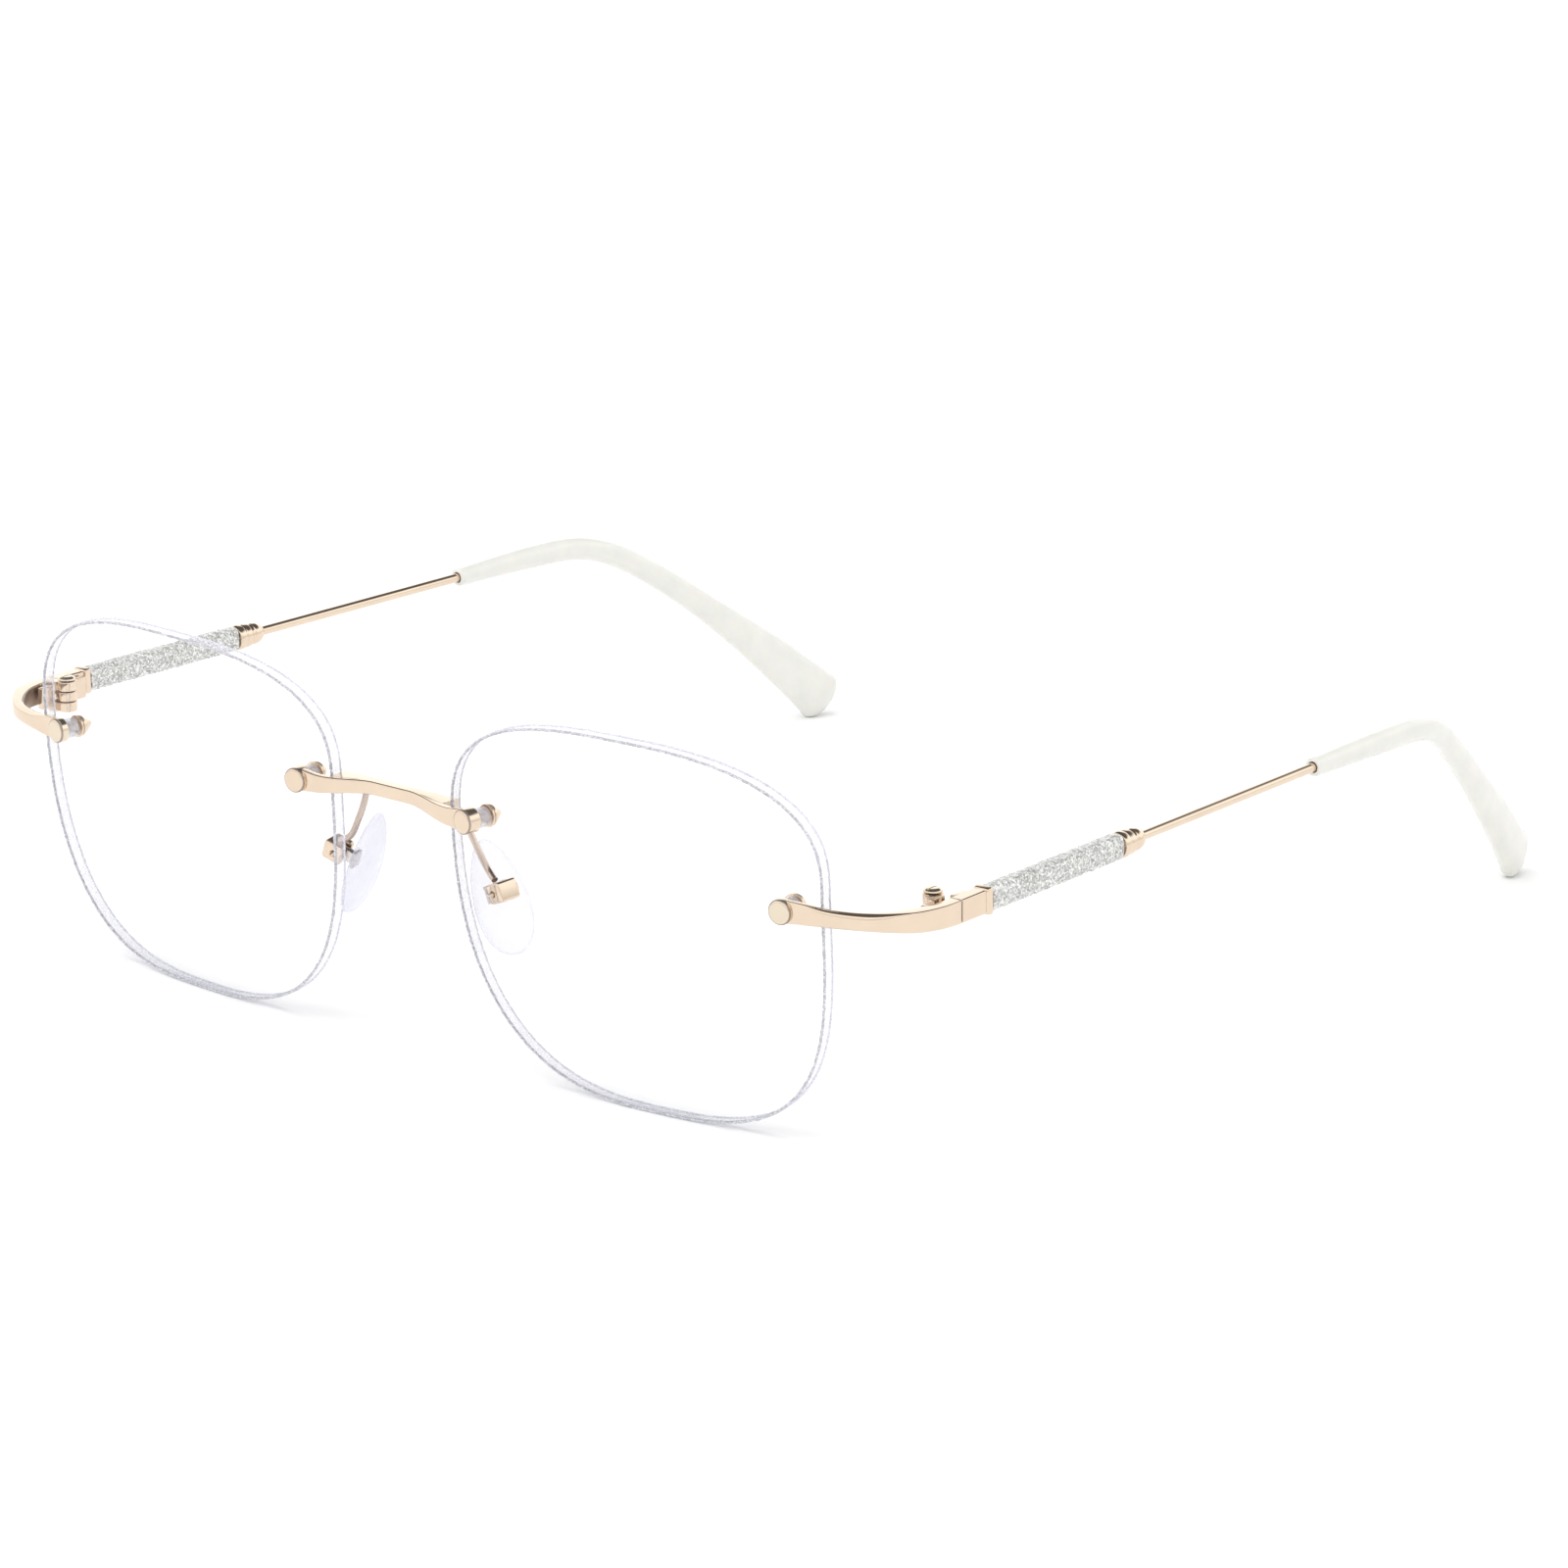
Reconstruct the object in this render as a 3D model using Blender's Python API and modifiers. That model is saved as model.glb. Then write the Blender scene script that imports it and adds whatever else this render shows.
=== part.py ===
"""Rimless eyeglasses: two drilled lenses, a bridge, two end pieces and two folding temples.

The glasses stand open on the lenses' lower edges and the temple tips. Lengths are in
millimetres, and MM turns them into metres. +X is the wearer's left, +Y runs back along
the temples, +Z is up, and the floor is z = 0. Everything on the wearer's left is modelled
once, and the right side is its mirror image.
"""

from math import cos, pi, radians, sin, sqrt

import bmesh
import bpy
from mathutils import Euler, Matrix, Vector

MM = 0.001
GAP = 0.12  # air between pieces that touch on the real object

# Lenses
LENS_HALF_WIDTH = 26.8
LENS_HALF_HEIGHT = 22.7
LENS_WIDEST = 9.0  # height of the widest line over the lens centre
LENS_CORNERS = {"top_out": 2.45, "top_in": 2.6, "bottom_in": 2.7, "bottom_out": 3.2}
LENS_RADIUS = 129.0  # base curve of the front face
LENS_THICK = 1.6
LENS_X = 36.4
LENS_Y = 0.15
LENS_Z = 22.385
WRAP = radians(4.3)
TILT = radians(5.3)
LENS_HOLE_R = 1.2

# Rimless mounts: the hole's place on the lens, and how the screw post points
BRIDGE_HOLE = (-22.61, 9.17)
BRIDGE_YAW = radians(6.0)
END_HOLE = (22.05, 6.22)
END_YAW = radians(-9.0)
DISC_R = 1.5
BRIDGE_FACE = -1.95  # places along a mount axis, from the lens' front face
END_FACE = -1.3
DISC_BACK = -0.2
POST_R = 0.6
POST_END = 2.95
WASHER_R = 1.38
NUT_R = 1.3
NUT_LENGTH = 1.75

# Bridge and end pieces
DISC_PROUD = 0.55  # how far a disc stands out from the bar that it ends
BRIDGE_SET_BACK = 1.6
BRIDGE_RISE = 0.5
SEAM_Y = 15.1
HINGE = Vector((70.0, 14.9, 0.0))
DATUM_Y = -70.31  # puts the middle of the length over the origin

# Temples: a straight line from the seam to the bend behind the ear
TEMPLE_START = Vector((73.06, SEAM_Y + 0.15, 28.67))
TEMPLE_DIRECTION = Vector((-0.047, 1.0, 0.004)).normalized()
BLOCK_LENGTH = 5.4
SLEEVE_LENGTH = 24.4
FERRULE_LENGTH = 4.4
WIRE_R = 0.58
TIP_START = 68.6  # distance along the temple line

# Nose pads
PAD_BOX = Vector((13.2, 4.8, 21.8))
PAD_SPLAY = radians(12.3)
PAD_FRONTAL = radians(20.9)
PAD_ROLL = radians(5.9)
PAD_HALF = (3.75, 7.0, 1.2)


# ---------------------------------------------------------------- materials


def material(name, colour, metallic, roughness, transmission=0.0):
    made = bpy.data.materials.new(name)
    made.use_nodes = True
    shader = made.node_tree.nodes["Principled BSDF"]
    shader.inputs["Base Color"].default_value = (*colour, 1.0)
    shader.inputs["Metallic"].default_value = metallic
    shader.inputs["Roughness"].default_value = roughness
    shader.inputs["Transmission Weight"].default_value = transmission
    return made


# ---------------------------------------------------------------- objects


def collection(name):
    made = bpy.data.collections.new(name)
    bpy.context.scene.collection.children.link(made)
    return made


def add(name, mesh, look, location=(0, 0, 0), rotation=(0, 0, 0)):
    """A named part at a place in millimetres."""
    mesh.materials.clear()
    mesh.materials.append(look)
    made = bpy.data.objects.new(name, mesh)
    made.location = Vector(location) * MM
    made.rotation_euler = rotation
    parts.objects.link(made)
    return made


def helper(obj):
    """Turns an object into a cutter or a Boolean operand."""
    for owner in list(obj.users_collection):
        owner.objects.unlink(obj)
    cutters.objects.link(obj)
    obj.hide_render = True
    obj.display_type = "WIRE"
    return obj


def boolean(obj, operation, operand):
    modifier = obj.modifiers.new(operation.lower() + "_" + operand.name, "BOOLEAN")
    modifier.operation = operation
    modifier.solver = "EXACT"
    modifier.object = helper(operand)


def evaluated_mesh(obj):
    graph = bpy.context.evaluated_depsgraph_get()
    return bpy.data.meshes.new_from_object(obj.evaluated_get(graph))


def finish_mesh(shape, name):
    """Closes a bmesh off as a mesh with smooth round faces and sharp edges."""
    bmesh.ops.recalc_face_normals(shape, faces=shape.faces)
    mesh = bpy.data.meshes.new(name)
    shape.to_mesh(mesh)
    shape.free()
    mesh.shade_smooth()
    mesh.set_sharp_from_angle(angle=radians(40))
    return mesh


# ---------------------------------------------------------------- shapes


def turned(name, profile, look, location=(0, 0, 0), rotation=(0, 0, 0), steps=16, ring=False):
    """A profile of (radius, height) turned about local Z. It runs down the outer side."""
    mesh = bpy.data.meshes.new(name)
    points = [(r * MM, 0.0, z * MM) for r, z in profile]
    edges = [(i, i + 1) for i in range(len(points) - 1)]
    if ring:
        edges.append((len(points) - 1, 0))
    mesh.from_pydata(points, edges, [])
    made = add(name, mesh, look, location, rotation)
    screw = made.modifiers.new("turn", "SCREW")
    screw.steps = screw.render_steps = steps
    screw.use_merge_vertices = True
    screw.merge_threshold = 0.000001
    screw.use_smooth_shade = True
    return made


def box(name, centre, size, look, rotation=(0, 0, 0), bevel=0.0):
    shape = bmesh.new()
    bmesh.ops.create_cube(shape, size=MM)
    bmesh.ops.scale(shape, vec=size, verts=shape.verts)
    if bevel:
        bmesh.ops.bevel(
            shape, geom=shape.edges[:], offset=bevel * MM, segments=2, profile=0.5, affect="EDGES"
        )
    return add(name, finish_mesh(shape, name), look, centre, rotation)


def cylinder(name, centre, radius, length, look, rotation=(0, 0, 0), segments=16):
    """A cylinder along local Z about its centre."""
    shape = bmesh.new()
    bmesh.ops.create_cone(
        shape, cap_ends=True, segments=segments, radius1=radius * MM, radius2=radius * MM,
        depth=length * MM,
    )
    return add(name, finish_mesh(shape, name), look, centre, rotation)


def smooth_path(points, steps):
    """Catmull-Rom points through rows of numbers, so that widths blend along with places."""
    rows = [points[0], *points, points[-1]]
    path = []
    for i in range(1, len(rows) - 2):
        for step in range(steps):
            t = step / steps
            path.append([
                0.5 * (2 * b + (c - a) * t + (2 * a - 5 * b + 4 * c - d) * t**2
                       + (3 * b - a - 3 * c + d) * t**3)
                for a, b, c, d in zip(*rows[i - 1:i + 3])
            ])
    return path + [list(points[-1])]


def loft(name, stations, look, sides=16, squareness=2.0, end_round=0.0):
    """A solid through upright rounded sections: rows of (x, y, z, half width, half height).

    squareness 2 is an ellipse and larger values are boxier. end_round adds a domed cap.
    """
    rows = [list(row) for row in stations]
    if end_round:
        rows = rows[:-1] + domed_end(rows, end_round)
    places = [Vector(row[:3]) for row in rows]
    shape = bmesh.new()
    rings = []
    for i, row in enumerate(rows):
        along = (places[min(i + 1, len(rows) - 1)] - places[max(i - 1, 0)]).normalized()
        across = along.cross(Vector((0, 0, 1))).normalized()
        upward = across.cross(along)
        ring = []
        for side in range(sides):
            angle = 2 * pi * (side + 0.5) / sides
            x, z = superellipse(angle, squareness)
            place = places[i] + across * x * row[3] + upward * z * row[4]
            ring.append(shape.verts.new(place * MM))
        rings.append(ring)
    for low, high in zip(rings, rings[1:]):
        for a in range(sides):
            b = (a + 1) % sides
            shape.faces.new((low[a], low[b], high[b], high[a]))
    shape.faces.new(rings[0])
    shape.faces.new(rings[-1])
    return add(name, finish_mesh(shape, name), look)


def domed_end(rows, length):
    """Three rows that round off the last section over a length."""
    last, before = Vector(rows[-1][:3]), Vector(rows[-2][:3])
    along = (last - before).normalized()
    ends = []
    for turn in (0, 30, 55, 75):
        place = last + along * length * (sin(radians(turn)) - 1)
        shrink = cos(radians(turn))
        ends.append([*place, rows[-1][3] * shrink, rows[-1][4] * shrink])
    return ends


def superellipse(angle, power):
    c, s = cos(angle), sin(angle)
    return (
        abs(c) ** (2 / power) * (1 if c >= 0 else -1),
        abs(s) ** (2 / power) * (1 if s >= 0 else -1),
    )


def wire(name, points, radius, look, resolution=1):
    """A round wire through points, as a curve with filled caps."""
    curve = bpy.data.curves.new(name, "CURVE")
    curve.dimensions = "3D"
    curve.bevel_depth = radius * MM
    curve.bevel_resolution = resolution
    curve.use_fill_caps = True
    spline = curve.splines.new("POLY")
    spline.points.add(len(points) - 1)
    for point, place in zip(spline.points, points):
        point.co = (*(Vector(place[:3]) * MM), 1.0)
    made = bpy.data.objects.new(name, curve)
    parts.objects.link(made)
    return to_mesh_object(made, look)


def prism(name, outline, half_depth, look):
    """A flat outline of (x, y) in millimetres, thickened along Z."""
    curve = bpy.data.curves.new(name, "CURVE")
    curve.dimensions = "2D"
    curve.fill_mode = "BOTH"
    curve.extrude = half_depth * MM
    spline = curve.splines.new("POLY")
    spline.points.add(len(outline) - 1)
    for point, (x, y) in zip(spline.points, outline):
        point.co = (x * MM, y * MM, 0.0, 1.0)
    spline.use_cyclic_u = True
    made = bpy.data.objects.new(name, curve)
    parts.objects.link(made)
    return to_mesh_object(made, look)


def to_mesh_object(obj, look):
    """Replaces a curve object with the welded mesh that it makes."""
    name = obj.name
    mesh = evaluated_mesh(obj)
    shape = bmesh.new()
    shape.from_mesh(mesh)
    bmesh.ops.remove_doubles(shape, verts=shape.verts, dist=0.000001)
    place = obj.matrix_world.copy()
    bpy.data.objects.remove(obj)
    bpy.data.meshes.remove(mesh)
    made = add(name, finish_mesh(shape, name), look)
    made.matrix_world = place
    return made


# ---------------------------------------------------------------- lenses


def lens_outline(count=60):
    """The lens shape: four superellipse quarters that meet on the widest line."""
    outline = []
    for i in range(count):
        angle = 2 * pi * (i + 0.5) / count
        level = "top" if sin(angle) >= 0 else "bottom"
        side = "out" if cos(angle) >= 0 else "in"
        x, y = superellipse(angle, LENS_CORNERS[level + "_" + side])
        reach = LENS_HALF_HEIGHT - LENS_WIDEST if level == "top" else LENS_HALF_HEIGHT + LENS_WIDEST
        outline.append((x * LENS_HALF_WIDTH, LENS_WIDEST + y * reach))
    return outline


def lens_matrix():
    """Local X is outward along the lens, Y is up it, and Z points to the front."""
    turn = Euler((pi / 2 + TILT, 0.0, WRAP)).to_matrix().to_4x4()
    return Matrix.Translation(Vector((LENS_X, LENS_Y, LENS_Z))) @ turn


def sag(x, y, radius=LENS_RADIUS):
    return radius - sqrt(radius**2 - x**2 - y**2)


def hole_on_lens(hole):
    """The world place of a hole's centre on the lens' front face."""
    x, y = hole
    return lens_matrix() @ Vector((x, y, -sag(x, y)))


def mount_axis(yaw):
    return Vector((sin(yaw), cos(yaw), 0.0))


def mount_rotation(yaw):
    """Turns local Z to point back along the mount's axis."""
    return (-pi / 2, 0.0, -yaw)


def make_lens():
    rim = 34.0
    back = LENS_RADIUS - LENS_THICK
    radii = [rim * i / 5 for i in range(6)]
    front_face = [(r, -sag(r, 0)) for r in radii]
    back_face = [(r, -LENS_THICK - sag(r, 0, back)) for r in reversed(radii)]
    turn = (pi / 2 + TILT, 0.0, WRAP)
    place = (LENS_X, LENS_Y, LENS_Z)
    lens = turned("lens_left", front_face + back_face, looks["lens"], place, turn, steps=24)
    outline = prism("lens_outline", lens_outline(), 14.0, looks["lens"])
    outline.location = Vector(place) * MM
    outline.rotation_euler = turn
    boolean(lens, "INTERSECT", outline)
    for label, hole, yaw in MOUNTS:
        drill = cylinder(label + "_drill", hole_on_lens(hole), LENS_HOLE_R, 12.0, looks["lens"],
                         mount_rotation(yaw))
        boolean(lens, "DIFFERENCE", drill)
    return [lens]


# ---------------------------------------------------------------- rimless mounts

MOUNTS = (("bridge", BRIDGE_HOLE, BRIDGE_YAW), ("end", END_HOLE, END_YAW))


def mount_stud(name, hole, yaw, face):
    """The round disc in front of the lens, with the threaded post through it."""
    edge = 0.15
    profile = [
        (0, POST_END), (POST_R - edge, POST_END), (POST_R, POST_END - edge), (POST_R, DISC_BACK),
        (DISC_R - edge, DISC_BACK), (DISC_R, DISC_BACK - edge), (DISC_R, face + edge),
        (DISC_R - edge, face), (0, face),
    ]
    return turned(name, profile, looks["gold"], hole_on_lens(hole), mount_rotation(yaw))


def make_mount_hardware(label, hole, yaw):
    place = hole_on_lens(hole)
    turn = mount_rotation(yaw)
    back = LENS_THICK + 2 * GAP  # clear of the curved back face
    bore = POST_R + GAP
    sleeve = LENS_HOLE_R - GAP
    bush_front = DISC_BACK + GAP
    bush = turned(
        label + "_bush_left",
        [(sleeve, LENS_THICK), (sleeve, bush_front), (bore, bush_front), (bore, LENS_THICK)],
        looks["nylon"], place, turn, ring=True,
    )
    high = back + 0.25
    washer = turned(
        label + "_washer_left",
        [(WASHER_R, high), (WASHER_R, back), (bore, back), (bore, high)],
        looks["gold"], place, turn, ring=True,
    )
    nut_low = high + GAP
    nut = turned(
        label + "_cap_nut_left",
        [(0, nut_low + NUT_LENGTH), (0.3, nut_low + NUT_LENGTH - 0.1), (NUT_R - 0.15, nut_low + 0.4),
         (NUT_R, nut_low + 0.3), (NUT_R, nut_low), (bore, nut_low), (bore, POST_END + GAP),
         (0, POST_END + GAP)],
        looks["gold"], place, turn,
    )
    return [bush, washer, nut]


# ---------------------------------------------------------------- bridge


def bridge_row(x):
    """One section of the bar, which sinks back and rises between the discs."""
    disc = hole_on_lens(BRIDGE_HOLE) + mount_axis(BRIDGE_YAW) * BRIDGE_FACE
    reach = min(abs(x) / disc.x, 1.0)
    blend = min(max((reach - 0.2) / 0.62, 0.0), 1.0)
    inward = 1 - blend**2 * (3 - 2 * blend)
    half_depth = 0.5 + 0.3 * inward
    y = disc.y + DISC_PROUD + half_depth + BRIDGE_SET_BACK * inward
    z = disc.z + BRIDGE_RISE * inward
    return (x, y, z, half_depth, 0.8 + 0.6 * reach**3)


def make_bridge():
    disc_x = hole_on_lens(BRIDGE_HOLE).x
    count = 14
    rows = [bridge_row(disc_x * (2 * i / count - 1)) for i in range(count + 1)]
    bar = loft("bridge", rows, looks["gold"], sides=12, squareness=3.2)
    for side in (-1, 1):
        stud = mount_stud("bridge_stud", BRIDGE_HOLE, BRIDGE_YAW, BRIDGE_FACE)
        lug = box("bridge_lug", (8.6, 0.9, 31.95), (0.85, 3.2, 1.7), looks["gold"])
        for operand in (stud, lug):
            if side < 0:
                operand = mirror_image(operand, operand.name + "_right", keep=False)
            boolean(bar, "UNION", operand)
    return bar


def make_pad_arm():
    path = smooth_path(
        [(7.3, 0.95, 31.4), (7.2, 2.4, 31.4), (7.5, 3.8, 30.4), (8.46, 4.4, 28.5), (9.75, 4.6, 26.1),
         (11.1, 4.75, 24.0), pad_place(-0.5, 1.5, 0.0)], 2)
    return [wire("pad_arm_left", path, 0.4, looks["gold"], 1)]


# ---------------------------------------------------------------- nose pads


def pad_axes():
    """Unit vectors of the pad: back along its width, up its length, and outward to the lens."""
    back = Vector((sin(PAD_SPLAY), cos(PAD_SPLAY), 0.0))
    level = Vector((cos(PAD_SPLAY), -sin(PAD_SPLAY), 0.0))
    rise = Vector((0, 0, cos(PAD_FRONTAL))) - level * sin(PAD_FRONTAL)
    outward = level * cos(PAD_FRONTAL) + Vector((0, 0, sin(PAD_FRONTAL)))
    width = back * cos(PAD_ROLL) + rise * sin(PAD_ROLL)
    length = rise * cos(PAD_ROLL) - back * sin(PAD_ROLL)
    return width, length, outward


def pad_place(a, b, c):
    """A world place from the pad box's centre, along the pad's width, length and outward axes."""
    width, length, outward = pad_axes()
    return PAD_BOX + width * a + length * b + outward * c


def pad_rotation():
    width, length, outward = pad_axes()
    return Matrix((width, length, outward)).transposed().to_euler()


def make_pad():
    turn = pad_rotation()
    centre = pad_place(1.35, -0.7, -3.0)
    shape = bmesh.new()
    bmesh.ops.create_uvsphere(shape, u_segments=16, v_segments=8, radius=1.0)
    for vert in shape.verts:
        x, y, z = vert.co
        y_mm = y * PAD_HALF[1]
        vert.co = Vector((x * PAD_HALF[0] * (1 - 0.22 * y), y_mm, z * PAD_HALF[2])) * MM
    pad = add("nose_pad_left", finish_mesh(shape, "nose_pad_left"), looks["silicone"], centre, turn)
    pocket = box("pad_pocket", pad_place(0.0, 0.0, -2.2), (1.9, 2.5, 1.2), looks["steel"], turn)
    boolean(pad, "DIFFERENCE", pocket)
    plate_out = -2.15
    insert = box("pad_insert_left", pad_place(0.0, 0.0, plate_out - 0.25), (1.5, 2.1, 0.5),
                 looks["steel"], turn)
    tab = box("pad_tab", pad_place(0.0, 0.0, -1.0), (0.9, 1.5, 2.7), looks["steel"], turn)
    boolean(insert, "UNION", tab)
    width_turn = screw_rotation()
    boolean(insert, "DIFFERENCE",
            cylinder("tab_hole", PAD_BOX, 0.42, 3.0, looks["steel"], width_turn, 16))
    return [pad, insert]


def screw_rotation():
    """Turns local Z along the pad's width axis."""
    width, length, outward = pad_axes()
    return Matrix((length, outward, width)).transposed().to_euler()


def make_pad_box():
    turn = pad_rotation()
    holder = box("pad_box_left", pad_place(0, 0, 0.2), (2.8, 2.4, 2.6), looks["gold"], turn, 0.3)
    slot = box("pad_slot", pad_place(0, 0, -0.4), (1.2, 4.0, 2.6), looks["gold"], turn)
    boolean(holder, "DIFFERENCE", slot)
    boolean(holder, "DIFFERENCE",
            cylinder("box_hole", PAD_BOX, 0.42, 6.0, looks["gold"], screw_rotation(), 16))
    screw = turned(
        "pad_screw_left",
        [(0, 2.1), (0.6, 2.0), (0.75, 1.85), (0.75, 1.52), (0.33, 1.52), (0.33, -1.5), (0.12, -2.05),
         (0, -2.1)],
        looks["gold"], PAD_BOX, screw_rotation(), steps=16,
    )
    return [holder, screw]


# ---------------------------------------------------------------- end pieces and hinges


def make_end_piece():
    disc = hole_on_lens(END_HOLE) + mount_axis(END_YAW) * END_FACE
    path = smooth_path([
        (disc.x, disc.y + 0.8, disc.z, 0.3, 1.4),
        (60.9, disc.y + 1.15, 28.85, 0.4, 1.25),
        (64.6, disc.y + 2.1, 28.72, 0.6, 1.05),
        (68.8, 5.9, 28.72, 0.75, 1.05),
        (71.9, 9.0, 28.72, 0.85, 1.2),
        (73.0, 12.1, 28.7, 0.9, 1.3),
        (73.1, SEAM_Y, 28.67, 0.9, 1.35),
    ], 3)
    arm = loft("end_piece_left", path, looks["gold"], sides=12, squareness=4.0)
    boolean(arm, "UNION", mount_stud("end_stud", END_HOLE, END_YAW, END_FACE))
    boolean(arm, "UNION", box("end_lug", (63.6, 5.2, 28.3), (0.8, 2.8, 1.2), looks["gold"]))
    return [arm]


def hinge_leaf(name, plate_y, knuckles, neck_y, screw_hole=0.5):
    """A plate beside the arm, with knuckle rings on the hinge axis at the given heights."""
    low, high = plate_y
    plate = box(name, (71.35, (low + high) / 2, 28.4), (0.8, high - low, 2.7), looks["gold"])
    for i, (bottom, top) in enumerate(knuckles):
        middle, height = (bottom + top) / 2, top - bottom
        at = (HINGE.x, HINGE.y, middle)
        boolean(plate, "UNION", cylinder(f"{name}_ring_{i}", at, 1.2, height, looks["gold"]))
        edge = low + 0.2 if neck_y < low else high - 0.2
        neck = box(f"{name}_neck_{i}", (71.05, (edge + neck_y) / 2, middle),
                   (1.3, abs(edge - neck_y), height - 0.04), looks["gold"])
        boolean(plate, "UNION", neck)
    boolean(plate, "DIFFERENCE",
            cylinder(name + "_pin_hole", (HINGE.x, HINGE.y, 28.4), screw_hole, 8.0, looks["gold"]))
    return plate


KNUCKLES = ((26.5, 27.7), (27.82, 28.98), (29.1, 30.3))


def make_hinge_front():
    leaf = hinge_leaf("hinge_leaf_front_left", (11.6, 13.4), (KNUCKLES[0], KNUCKLES[2]), 15.0)
    screw = turned(
        "hinge_screw_left",
        [(0, 30.9), (0.75, 30.86), (1.1, 30.65), (1.15, 30.42), (0.42, 30.42), (0.42, 26.3),
         (0, 26.2)],
        looks["gold"], HINGE,
    )
    return [leaf, screw]


# ---------------------------------------------------------------- temples


def temple_place(distance):
    return TEMPLE_START + TEMPLE_DIRECTION * distance


def temple_row(distance, half_width, half_height):
    return (*temple_place(distance), half_width, half_height)


def temple_rotation():
    """Turns local Z to run back along the temple."""
    return TEMPLE_DIRECTION.to_track_quat("Z", "Y").to_euler()


def make_temple_block():
    end = BLOCK_LENGTH
    rows = [(0, 0.95, 1.38), (end - 1.5, 0.95, 1.4), (end - 1.0, 1.0, 1.45), (end - 0.6, 1.12, 1.6),
            (end - 0.3, 1.15, 1.62), (end, 1.1, 1.56)]
    block = loft("temple_block_left", [temple_row(*row) for row in rows], looks["gold"],
                 sides=12, squareness=5.0)
    leaf = hinge_leaf("hinge_leaf_temple_left", (16.6, 19.0), (KNUCKLES[1],), 14.8)
    return [block, leaf]


def tip_path():
    """Sections of the tip: straight, then a bend down and inward to a flat paddle."""
    start = temple_place(TIP_START)
    return smooth_path([
        (*start, 1.1, 1.15),
        (69.5, 96.0, 29.0, 1.3, 1.45),
        (68.8, 105.0, 28.6, 1.35, 1.5),
        (67.3, 111.0, 26.7, 1.4, 1.55),
        (65.3, 117.0, 22.9, 1.4, 1.6),
        (62.6, 125.0, 16.6, 1.45, 1.85),
        (59.8, 134.0, 8.8, 1.55, 2.7),
        (57.4, 141.6, 1.41, 1.6, 3.4),
    ], 2)


def make_wire_and_tip():
    path = tip_path()
    core = [temple_place(BLOCK_LENGTH + GAP), temple_place(TIP_START)] + path[1:11]
    wire_part = wire("temple_wire_left", core, WIRE_R, looks["gold"])
    tip = loft("temple_tip_left", path, looks["ivory"], sides=14, squareness=2.2, end_round=2.2)
    bore_path = [temple_place(TIP_START - 3), temple_place(TIP_START)] + path[1:12]
    boolean(tip, "DIFFERENCE", wire("tip_bore", bore_path, WIRE_R + GAP, looks["ivory"]))
    return [wire_part, tip]


def make_sleeve_and_ferrule():
    turn = temple_rotation()
    start = BLOCK_LENGTH + GAP
    end = start + SLEEVE_LENGTH
    rows = [temple_row(start, 1.15, 1.5), temple_row(end, 1.15, 1.5)]
    sleeve = loft("glitter_sleeve_left", rows, looks["glitter"], sides=12, squareness=3.0)
    middle = temple_place((start + end) / 2)
    boolean(sleeve, "DIFFERENCE",
            cylinder("sleeve_bore", middle, WIRE_R + GAP, SLEEVE_LENGTH + 2, looks["glitter"], turn))
    bore = WIRE_R + GAP
    ferrule = turned(
        "ferrule_left",
        [(0.8, FERRULE_LENGTH), (1.1, 4.0), (1.35, 3.3), (1.35, 2.7), (1.15, 2.4), (1.45, 2.1),
         (1.6, 1.8), (1.6, 0.3), (1.45, 0.0), (bore, 0.0), (bore, FERRULE_LENGTH)],
        looks["gold"], temple_place(end + GAP), turn, ring=True,
    )
    return [sleeve, ferrule]


# ---------------------------------------------------------------- assembly


def mirror_image(obj, name, keep=True):
    """The same solid on the wearer's right, as its own object with its own origin."""
    bpy.context.view_layer.update()
    flip = Matrix.Diagonal((-1, 1, 1, 1))
    origin = flip @ obj.matrix_world.translation
    mesh = evaluated_mesh(obj)
    mesh.transform(Matrix.Translation(-origin) @ flip @ obj.matrix_world)
    mesh.flip_normals()
    made = bpy.data.objects.new(name, mesh)
    made.location = origin
    parts.objects.link(made)
    if not keep:
        bpy.data.objects.remove(obj)
    return made


def pivot(name, place, children):
    """An empty on a joint's axis that carries the pieces which move on it."""
    made = bpy.data.objects.new(name, None)
    made.location = place * MM
    parts.objects.link(made)
    bpy.context.view_layer.update()
    for child in children:
        child.parent = made
        child.matrix_parent_inverse = made.matrix_world.inverted()
    return made


def build():
    front = make_lens() + make_pad_arm() + make_pad_box() + make_end_piece() + make_hinge_front()
    for label, hole, yaw in MOUNTS:
        front += make_mount_hardware(label, hole, yaw)
    pad = make_pad()
    temple = make_temple_block() + make_sleeve_and_ferrule() + make_wire_and_tip()
    make_bridge()
    moving = {"nose_pad": (pad, PAD_BOX), "temple": (temple, HINGE + Vector((0, 0, 28.4)))}
    for piece in front:
        mirror_image(piece, piece.name.replace("_left", "_right"))
    flip = Matrix.Diagonal((-1, 1, 1))
    for label, (pieces, place) in moving.items():
        others = [mirror_image(piece, piece.name.replace("_left", "_right")) for piece in pieces]
        pivot(label + "_pivot_left", place, pieces)
        pivot(label + "_pivot_right", flip @ place, others)
    everything = [*parts.objects, *cutters.objects]
    datum = pivot("datum", Vector(), [obj for obj in everything if obj.parent is None])
    datum.location.y = DATUM_Y * MM


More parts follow.
